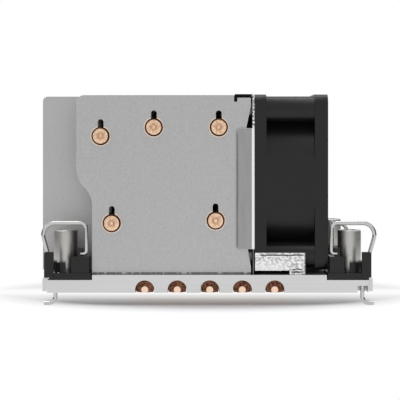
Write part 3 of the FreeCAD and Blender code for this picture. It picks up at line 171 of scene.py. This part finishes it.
class Finish:
    """A material with one Principled shader, and the place on the object that its patterns read."""

    def __init__(self, name, colour, roughness, metallic):
        self.material = bpy.data.materials.new(name)
        self.material.use_nodes = True
        self.tree = self.material.node_tree
        self.shader = self.tree.nodes["Principled BSDF"]
        self.set("Base Color", (*colour, 1))
        self.set("Roughness", roughness)
        self.set("Metallic", metallic)
        coordinates = self.tree.nodes.new("ShaderNodeTexCoord")
        self.place = Reading(coordinates.outputs["Object"])

    def set(self, socket, value):
        if isinstance(value, Reading):
            self.tree.links.new(value.socket, self.shader.inputs[socket])
        else:
            self.shader.inputs[socket].default_value = value

    def axes(self):
        """The X, Y and Z of the place, each as a reading of its own."""
        split = self.tree.nodes.new("ShaderNodeSeparateXYZ")
        self.tree.links.new(self.place.socket, split.inputs[0])
        return [Reading(socket) for socket in split.outputs]

    def mark(self, name):
        """A number that a piece's own faces carry, and 0 on pieces without it."""
        return self.place.node("ShaderNodeAttribute", {"attribute_name": name}, {}, "Fac")

    def grey(self, shade):
        """Give the surface a plain grey that varies."""
        self.set("Base Color", as_colour(shade))

    def bumps(self, height, depth):
        """Roughen the surface by a height, worth a depth in metres."""
        self.set("Normal", height.node("ShaderNodeBump", {}, {"Height": height, "Distance": depth}))


finishes = {}

# %% [markdown]
# ## Metals
#
# The fins are rolled aluminium: a matt grey sheet with a grain finer than a millimetre. The base
# plate is the same metal milled flat, so it is lighter and its fine lines run along the plate.

# %% Rolled fins and the milled plate
def grained(finish, grey, roughness, grain, stretch, spread):
    """A grey that varies with a fine grain and is brighter on bevelled edges, partly from wear and partly
    as a painted edge highlight; the roughness follows it.
    """
    fine = finish.place.noise(grain, 3.0, stretch)
    finish.set("Roughness", (fine - 0.5) * 0.2 + roughness)
    finish.bumps(fine, 0.00001)
    return (fine - 0.5) * spread + grey + finish.mark("worn") * 0.45


fins = Finish("rolled aluminium", (0.5, 0.5, 0.5), 0.5, 1.0)
x, y, z = fins.axes()
shade = grained(fins, 0.515, 0.5, 1900, (1, 1, 1), 0.22)
fin_face = y.between(-0.0372, -0.03645, 0.00002)
crumbs = fins.place.noise(700, 3.0, (1, 1, 0.3)).between(0.40, 2, 0.05)
lower_shade = fin_face * z.between(0.0062, 0.0067, 0.00015) * crumbs
# The collars' front rims are copper tinted, and brighter than the fins as a painted highlight.
collar_tint_and_highlight = y.between(-0.0372, -0.03655, 0.00002)
shade = shade * (1 - lower_shade * 0.75)
fins.set("Base Color", collar_tint_and_highlight.blend(as_colour(shade), (0.92, 0.73, 0.60, 1)))
finishes["fin_aluminium"] = fins

plate = Finish("milled aluminium", (0.7, 0.7, 0.7), 0.4, 1.0)
plate.grey(grained(plate, 0.69, 0.4, 900, (0.03, 1, 1), 0.14))
finishes["machined_aluminium"] = plate
print("Sheet finishes:", list(finishes))

# %% [markdown]
# The fan bracket is thin plated steel with fine upright streaks. The cut edge of its wall is bare and
# bright, with painted highlights on it, and below the flap it is painted near black as shade. The front
# of its top hook is painted nearly black as a shadow. The lower tab keeps a crumpled, very bright plating
# whose brightness and dark ripples partly paint its reflections, and the dark line under its rim, its
# darker right rim and the creases in its foot are painted shade. A dark line along the flap's bend is
# painted shade too. These marks are colour alone: the sheet under them is plain.

# %% Plated bracket
bracket = Finish("plated steel", (0.40, 0.40, 0.40), 0.42, 1.0)
x, y, z = bracket.axes()
streaks = bracket.place.noise(420, 4.0, (1, 1, 0.12))
# A dark line along the flap's bend is painted shade.
flap_bend_shade = x.between(0.0098, 0.0103, 0.0001) * z.between(0.0155, 0.054, 0.0005)
# The flap's bevelled edges are painted paler, partly for wear and partly as a highlight.
flap = ((streaks - 0.5) * 0.16 + 0.36) * (1 - flap_bend_shade * 0.45) + bracket.mark("worn") * 0.2

at_front = y.between(-0.040, -0.0359, 0.0001)
# The wall's cut edge is bare and bright; its left half and a thin line along it are brighter as painted
# highlights, and below the flap it is painted near black as shade.
on_edge = at_front * x.between(0.0150, 0.0161, 0.0001)
specks = bracket.place.noise(1500, 3.0).between(0.5, 2, 0.06)
beside_flap = z.between(0.0146, 0.0558, 0.0002)
above_flap = z.between(0.0558, 2, 0.0002)
bare_edge_with_highlight = (x.between(-1, 0.0156, 0.0003) * 0.3 + 0.62) * beside_flap
edge = bare_edge_with_highlight + above_flap * (specks * 0.75 + 0.12) + x.between(0.0154, 0.0157, 0.0001) * 0.25

on_tab = z.between(0.0059, 0.0136, 0.0002) * x.between(0.0161, 0.040, 0.0001)
ripples = bracket.place.noise(1100, 4.0, (0.8, 1, 1.3)).between(0.52, 2, 0.05)
rippled = z.between(0.0098, 2, 0.0015).or_more(x.between(0.0265, 1, 0.002))
wander = (bracket.place.noise(500, 2.0) - 0.5) * 0.0005
# The dark pressed line under the tab's rim, its darker right rim and the dark creases in its foot are
# painted shade.
pressed_line_shade = (z + wander * 0.5).between(0.01235, 0.01275, 0.0001) * x.between(0.0178, 0.0326, 0.0003)
tab_rim_shade = x.between(0.0328, 1, 0.0001)
folds = (z + wander * 1.5).between(0.0076, 0.00795, 0.0001)
folds = folds.or_more((z + wander).between(0.0066, 0.0071, 0.0001))
shaded_creases = folds * x.between(0.0285, 0.0322, 0.0005)
# The tab's very bright plating and its dark ripples partly paint the crumpled plating's reflections.
tab_plating_and_reflections = (0.89 - ripples * rippled * 0.36 - ripples * 0.06) * (1 - tab_rim_shade * 0.5)
tab_plating_and_reflections = tab_plating_and_reflections * (1 - pressed_line_shade.or_more(shaded_creases) * 0.95)

# The front of the top hook is painted nearly black as a shadow.
hook_slot_shadow = at_front * x.between(-1, 0.0149, 0.0001) * z.between(0.060, 1, 0.001)
shade = on_edge * edge + (1 - on_edge) * (on_tab * tab_plating_and_reflections + (1 - on_tab) * flap)
bracket.grey(shade * (1 - hook_slot_shadow * 0.97))
bracket.set("Roughness", 0.45 - on_tab * 0.2)
bracket.bumps(on_tab * ripples, 0.00008)
finishes["bracket_steel"] = bracket
print("Bracket finish ready, creases between 6.6 and 8 mm")

# %% [markdown]
# Copper is warm and bright at the pipes' upper ends, and brown where it has tarnished lower down. Round
# each upper end a near-black ring is painted shade.

# %% Where the pipes end
PIPES = ("one", "two", "three", "four", "five")


def pipe_end(name, low, high):
    """The middle of a pipe's front end between two heights, as X and Z."""
    source = nodes[name]
    points = [source.matrix_world @ vertex.co for vertex in source.data.vertices]
    points = [point for point in points if low < point.z < high]
    foremost = min(point.y for point in points)
    face = [point for point in points if point.y < foremost + 0.02 * MM]
    left, right = min(point.x for point in face), max(point.x for point in face)
    return (left + right) / 2, max(point.z for point in face) - (right - left) / 2


upper_ends = [pipe_end(f"heat_pipe_{pipe}", 15 * MM, 70 * MM) for pipe in PIPES]
lower_ends = [pipe_end(f"heat_pipe_{pipe}", 0, 4 * MM) for pipe in PIPES]
print("Upper pipe ends", [(round(x / MM, 1), round(z / MM, 1)) for x, z in upper_ends])
print("Lower pipe ends", [(round(x / MM, 1), round(z / MM, 1)) for x, z in lower_ends])

# %% Copper with polished and tarnished ends
copper = Finish("copper", (0.80, 0.46, 0.31), 0.32, 1.0)
x, y, z = copper.axes()


def nearest_axis(place, ends):
    """How far the place is from the nearest of several axes that run along Y."""
    flat = place.node("ShaderNodeVectorMath", {"operation": "MULTIPLY"}, {0: place, 1: (1, 0, 1)})
    nearest = None
    for end_x, end_z in ends:
        settings, inputs = {"operation": "DISTANCE"}, {0: flat, 1: (end_x, 0, end_z)}
        reach = place.node("ShaderNodeVectorMath", settings, inputs, "Value")
        nearest = reach if nearest is None else reach.maths("MINIMUM", nearest, reach)
    return nearest


at_front = y.between(-0.045, -0.0364, 0.0001)
upper_reach = nearest_axis(copper.place, upper_ends)
lower_reach = nearest_axis(copper.place, lower_ends)
clouds = copper.place.noise(500, 3.0)
metal = clouds.blend((0.68, 0.36, 0.23, 1), (0.90, 0.58, 0.42, 1))
specks = copper.place.noise(1500, 3.0)
polished = at_front * upper_reach.between(-1, 0.0025, 0.0001)
polish = specks.between(0.45, 2, 0.10).blend((0.62, 0.36, 0.23, 1), (0.93, 0.68, 0.47, 1))
metal = polished.blend(metal, polish)
# Each upper end is darker in a ring round its middle.
darker_middle_ring = at_front * upper_reach.between(0.0007, 0.0014, 0.0003)
metal = (darker_middle_ring * 0.6).blend(metal, (0.45, 0.24, 0.15, 1))
# A near-black ring round each upper end, where the pipe meets the fin, is painted shade.
gap_shade_ring = at_front * upper_reach.between(0.00255, 0.0040, 0.00008)
metal = gap_shade_ring.blend(metal, (0.05, 0.025, 0.015, 1))
tarnished = at_front * lower_reach.between(0.0012, 0.0040, 0.0002)
tarnish = specks.between(0.45, 2, 0.10).blend((0.12, 0.055, 0.04, 1), (0.50, 0.23, 0.14, 1))
metal = tarnished.blend(metal, tarnish)
nubs = at_front * lower_reach.between(-1, 0.0012, 0.0002)
metal = nubs.blend(metal, (0.95, 0.70, 0.54, 1))
copper.set("Base Color", metal)
finishes["copper"] = copper
print("Copper finish ready")

# %% Steel and brass

def turned_metal(name, colour, roughness, lines):
    """A metal turned on a lathe, with fine rings round its upright axis."""
    finish = Finish(name, colour, roughness, 1.0)
    rings = finish.place.noise(lines, 2.0, (0.02, 0.02, 1))
    finish.set("Roughness", (rings - 0.5) * 0.2 + roughness)
    finish.bumps(rings, 0.00001)
    return finish


finishes["nut_steel"] = turned_metal("turned nut steel", (0.55, 0.54, 0.52), 0.42, 2500)
finishes["spring_wire"] = Finish("spring wire", (0.55, 0.55, 0.54), 0.12, 1.0)
finishes["bright_steel"] = Finish("bright steel", (0.70, 0.70, 0.69), 0.2, 1.0)
finishes["dark_steel"] = Finish("dark steel", (0.20, 0.20, 0.21), 0.4, 1.0)
finishes["brass"] = Finish("brass", (0.78, 0.60, 0.30), 0.3, 1.0)
finishes["magnet"] = Finish("magnet", (0.05, 0.05, 0.055), 0.6, 0.0)
print("Metals:", list(finishes))

# %% [markdown]
# ## Plastics
#
# The fan and the nut holders are black moulded plastic. Black plastic is never quite black, and its very
# fine mould texture softens each highlight. The fan's frame is one moulding, so it has one colour, and
# only its bevelled edges are paler, partly rubbed and partly as a painted edge highlight.

# %% Black plastics and the circuit board
def moulded_plastic(name, grey, roughness):
    """Black plastic with a fine mould texture and paler edges, partly rubbed and partly a painted edge
    highlight.
    """
    finish = Finish(name, (grey, grey, grey), roughness, 0.0)
    texture = finish.place.noise(3500, 2.0)
    finish.bumps(texture, 0.00001)
    finish.set("Specular IOR Level", 0.35)
    return finish, (texture - 0.5) * 0.006 + grey + finish.mark("worn") * 0.02


fan_plastic, shade = moulded_plastic("fan plastic", 0.0075, 0.34)
fan_plastic.grey(shade)
finishes["fan_plastic"] = fan_plastic
holder_plastic, shade = moulded_plastic("holder plastic", 0.010, 0.35)
holder_plastic.grey(shade)
finishes["holder_plastic"] = holder_plastic
finishes["board"] = Finish("circuit board", (0.02, 0.10, 0.05), 0.5, 0.0)
print("All finishes:", len(finishes))

# %% [markdown]
# ## Soft edges
#
# Measured parts arrive as loose flat triangles with razor edges. Each visible part is copied, its
# triangles are joined, its flat faces are made whole, and its sharp edges are bevelled a little,
# because real sheet metal and moulded parts catch the light on their edges.

# %% Copy a part with soft edges
SHARP = math.radians(35)
WIRE_SHARP = math.radians(70)
LARGE_FACE = 6 * MM * MM
BEVEL_STEPS = 2
JOIN_WITHIN = 0.002 * MM
FLAT_WITHIN = math.radians(0.5)


def softened(name, width, sharp):
    """A joined copy of a measured part, bevelled by a width in millimetres, that stands in for it."""
    source = nodes[name]
    shape = bmesh.new()
    shape.from_mesh(source.data)
    bmesh.ops.transform(shape, matrix=source.matrix_world, verts=shape.verts)
    bmesh.ops.remove_doubles(shape, verts=shape.verts, dist=JOIN_WITHIN)
    bmesh.ops.dissolve_limit(shape, angle_limit=FLAT_WITHIN, verts=shape.verts, edges=shape.edges)
    # Bevelled faces carry a mark that finishes read to paint them paler, partly for wear and partly as an
    # edge highlight.
    worn = shape.faces.layers.float.new("worn")
    for face in shape.faces:
        cornered = all(edge.calc_face_angle(0) > sharp for edge in face.edges)
        face.smooth = face.calc_area() < LARGE_FACE or (len(face.verts) <= 4 and not cornered)
    if width:
        edges = [
            edge for edge in shape.edges
            if len(edge.link_faces) == 2 and edge.calc_face_angle(0) > sharp
        ]
        bevelled = bmesh.ops.bevel(
            shape, geom=edges, offset=width * MM, offset_type="OFFSET", segments=BEVEL_STEPS,
            profile=0.5, affect="EDGES", clamp_overlap=True, material=-1,
        )
        for face in bevelled["faces"]:
            face[worn] = 1.0
            face.smooth = True
    for edge in shape.edges:
        edge.smooth = len(edge.link_faces) != 2 or edge.calc_face_angle(0) < sharp
    mesh = bpy.data.meshes.new(f"{name}_soft")
    shape.to_mesh(mesh)
    shape.free()
    piece = bpy.data.objects.new(f"{name}_soft", mesh)
    bpy.context.scene.collection.objects.link(piece)
    mesh.materials.append(finishes[slot_of[name]].material)
    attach(piece, carrier[name])
    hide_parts(name)
    return piece


def face_count(piece):
    return sum(len(face.vertices) - 2 for face in piece.data.polygons)


# %% [markdown]
# A width of 0 leaves a part unbevelled. The wires and pipes are round already, and a bevel would
# crease the flat face round the rotor's shaft.

# %% Soften the parts that show
EDGE_WIDTHS = {
    "base_plate": 0.15, "front_fin": 0.19, "fan_bracket": 0.15, "fan_frame": 0.25,
    "rotor": 0, "fan_screws": 0.1,
}
CORNERS = ("front_left", "front_right", "rear_left", "rear_right")
for corner in CORNERS:
    EDGE_WIDTHS[f"captive_nut_{corner}"] = 0.1
    EDGE_WIDTHS[f"nut_holder_{corner}"] = 0.15
    EDGE_WIDTHS[f"wire_bail_{corner}"] = 0
for pipe in PIPES:
    EDGE_WIDTHS[f"heat_pipe_{pipe}"] = 0
for name, width in EDGE_WIDTHS.items():
    piece = softened(name, width, WIRE_SHARP if "wire" in name else SHARP)
    print(piece.name, face_count(piece), "triangles")

# %% Finish the parts that stay as they are
for name, part in nodes.items():
    part.data.materials.clear()
    part.data.materials.append(finishes[slot_of[name]].material)
print("Finished", len(nodes), "measured parts")

# %% [markdown]
# ## Studio
#
# The cooler stands on a pale floor under three soft lamps and a white surround that is darker at
# both sides. Away from the object the floor glows pure white, so that only the shadow shows. The
# shadow's fall-off is set by two curves: one under the object, and one round it.

# %% Floor
FLOOR_HALF = 2.0
FLOOR_GREY = 0.65
SHADOW_REACH = 1.47
floor_shape = bmesh.new()
floor_z = cad_box[0][2]
at_floor = Matrix.Translation((0, 0, floor_z))
bmesh.ops.create_grid(floor_shape, x_segments=1, y_segments=1, size=FLOOR_HALF, matrix=at_floor)
floor_mesh = bpy.data.meshes.new("floor")
floor_shape.to_mesh(floor_mesh)
floor_shape.free()
floor = bpy.data.objects.new("floor", floor_mesh)
bpy.context.scene.collection.objects.link(floor)
floor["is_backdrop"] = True

floor_finish = Finish("floor", (FLOOR_GREY, FLOOR_GREY, FLOOR_GREY), 0.9, 0.0)
tree = floor_finish.tree
reach_x, reach_y = cad_box[1][0] * SHADOW_REACH, cad_box[1][1] * SHADOW_REACH
inputs = {0: floor_finish.place, 1: (1 / reach_x, 1 / reach_y, 0)}
oval = floor_finish.place.node("ShaderNodeVectorMath", {"operation": "MULTIPLY"}, inputs)
distance = oval.node("ShaderNodeVectorMath", {"operation": "LENGTH"}, {0: oval}, "Value")
inward = floor_finish.axes()[1] * (1 / reach_y)
inward = inward.maths("ABSOLUTE", inward)
UNDER = [
    (0.0, 0.95), (0.1, 0.90), (0.2, 0.66), (0.3, 0.54), (0.4, 0.33), (0.5, 0.22), (0.6, 0.08), (0.7, 0.0),
]
OUTSIDE = [(0.66, 0.0), (0.76, 0.18), (0.85, 0.60), (0.94, 0.86), (1.0, 1.0)]
under = inward.node("ShaderNodeValToRGB", {"stops": UNDER}, {"Fac": inward})
outside = distance.node("ShaderNodeValToRGB", {"stops": OUTSIDE}, {"Fac": distance})
light_path = tree.nodes.new("ShaderNodeLightPath")
camera_ray = Reading(light_path.outputs["Is Camera Ray"])
glossy_ray = Reading(light_path.outputs["Is Glossy Ray"])
seen = camera_ray.or_more(glossy_ray)
glow = tree.nodes.new("ShaderNodeEmission")
glow.inputs["Strength"].default_value = 1.0
mix = tree.nodes.new("ShaderNodeMixShader")
share = seen * under.or_more(outside)
tree.links.new(share.socket, mix.inputs[0])
tree.links.new(floor_finish.shader.outputs[0], mix.inputs[1])
tree.links.new(glow.outputs[0], mix.inputs[2])
tree.links.new(mix.outputs[0], tree.nodes["Material Output"].inputs[0])
floor_mesh.materials.append(floor_finish.material)
print("Floor at z", round(floor_z / MM, 2), "mm")

# %% Surround and lamps
world = bpy.data.worlds.new("surround")
bpy.context.scene.world = world
world.use_nodes = True
surround = world.node_tree.nodes["Background"]
world_path = world.node_tree.nodes.new("ShaderNodeLightPath")
camera_seen = Reading(world_path.outputs["Is Camera Ray"])
direction = Reading(world.node_tree.nodes.new("ShaderNodeTexCoord").outputs["Generated"])
card_place = direction.node("ShaderNodeSeparateXYZ", {}, {"Vector": direction}, "X")
beside = card_place.maths("ABSOLUTE", card_place)
upward = direction.node("ShaderNodeSeparateXYZ", {}, {"Vector": direction}, "Z")
cards = beside.between(0.62, 2, 0.12) * (1 - upward.between(0.45, 2, 0.15))
DARK_CARD, BRIGHT = 0.12, 0.85
studio = cards * (DARK_CARD - BRIGHT) + BRIGHT
strength = camera_seen.or_more(studio)
world.node_tree.links.new(strength.socket, surround.inputs["Strength"])
surround.inputs["Color"].default_value = (1, 1, 1, 1)


def soft_lamp(name, place, target, size, power):
    """A flat lamp aimed at a target, with its two sides in metres and its power in watts."""
    lamp = bpy.data.lights.new(name, "AREA")
    lamp.shape = "RECTANGLE"
    lamp.size, lamp.size_y = size
    lamp.energy = power
    holder = bpy.data.objects.new(name, lamp)
    holder.location = place
    direction = Vector(target) - Vector(place)
    holder.rotation_euler = direction.to_track_quat("-Z", "Y").to_euler()
    bpy.context.scene.collection.objects.link(holder)
    return holder


soft_lamp("top softbox", (-0.15, -0.1, 0.8), (0, 0, 0.03), (0.6, 0.6), 1.2)
soft_lamp("strip lamp", (0, 0.22, 0.75), (0, 0, 0.03), (0.7, 0.12), 1.2)
soft_lamp("left softbox", (-0.7, -0.35, 0.35), (0, 0, 0.03), (0.4, 0.4), 0.5)
print("Surround from", DARK_CARD, "to", BRIGHT)

# %% [markdown]
# Polished wire only looks round when something dark stands beside it. Two low black cards do that
# here. They show in reflections alone, so they take no light away and stay out of the picture.

# %% Black cards
CARD_AWAY, CARD_TALL, CARD_LONG = 0.25, 0.02, 0.7
black = Finish("black card", (0.01, 0.01, 0.01), 0.9, 0.0)
for side in (-1, 1):
    card_shape = bmesh.new()
    at_card = Matrix.Translation((side * CARD_AWAY, 0, floor_z + CARD_TALL / 2))
    upright = at_card @ Matrix.Rotation(math.radians(90), 4, "Y")
    bmesh.ops.create_grid(card_shape, x_segments=1, y_segments=1, size=0.5, matrix=upright)
    middle = Matrix.Translation((0, 0, floor_z + CARD_TALL / 2))
    sides = (1, CARD_LONG, CARD_TALL)
    bmesh.ops.scale(card_shape, vec=sides, space=middle.inverted(), verts=card_shape.verts)
    card_mesh = bpy.data.meshes.new("card")
    card_shape.to_mesh(card_mesh)
    card_shape.free()
    card_mesh.materials.append(black.material)
    card = bpy.data.objects.new(f"card_{'left' if side < 0 else 'right'}", card_mesh)
    bpy.context.scene.collection.objects.link(card)
    card.visible_camera = card.visible_diffuse = card.visible_shadow = False
    card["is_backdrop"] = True
print("Black cards", CARD_AWAY, "m to each side")

# %% [markdown]
# ## Camera
#
# A long lens, level with the upper part of the fins, looks straight at the cooler's narrow side.

# %% Camera
CAMERA_PLACE = (-2.6 * MM, -465 * MM, 51 * MM)
lens = bpy.data.cameras.new("camera")
lens.sensor_width = 36.0
lens.lens = 113.4
lens.shift_y = -0.145
camera = bpy.data.objects.new("camera", lens)
camera.location = CAMERA_PLACE
camera.rotation_euler = (math.radians(90), 0, 0)
bpy.context.scene.collection.objects.link(camera)
bpy.context.scene.camera = camera
bpy.context.scene.view_settings.view_transform = "Standard"
print("Camera at", CAMERA_PLACE)

# %% Sizes and the end
print("Visual box", plain_box())
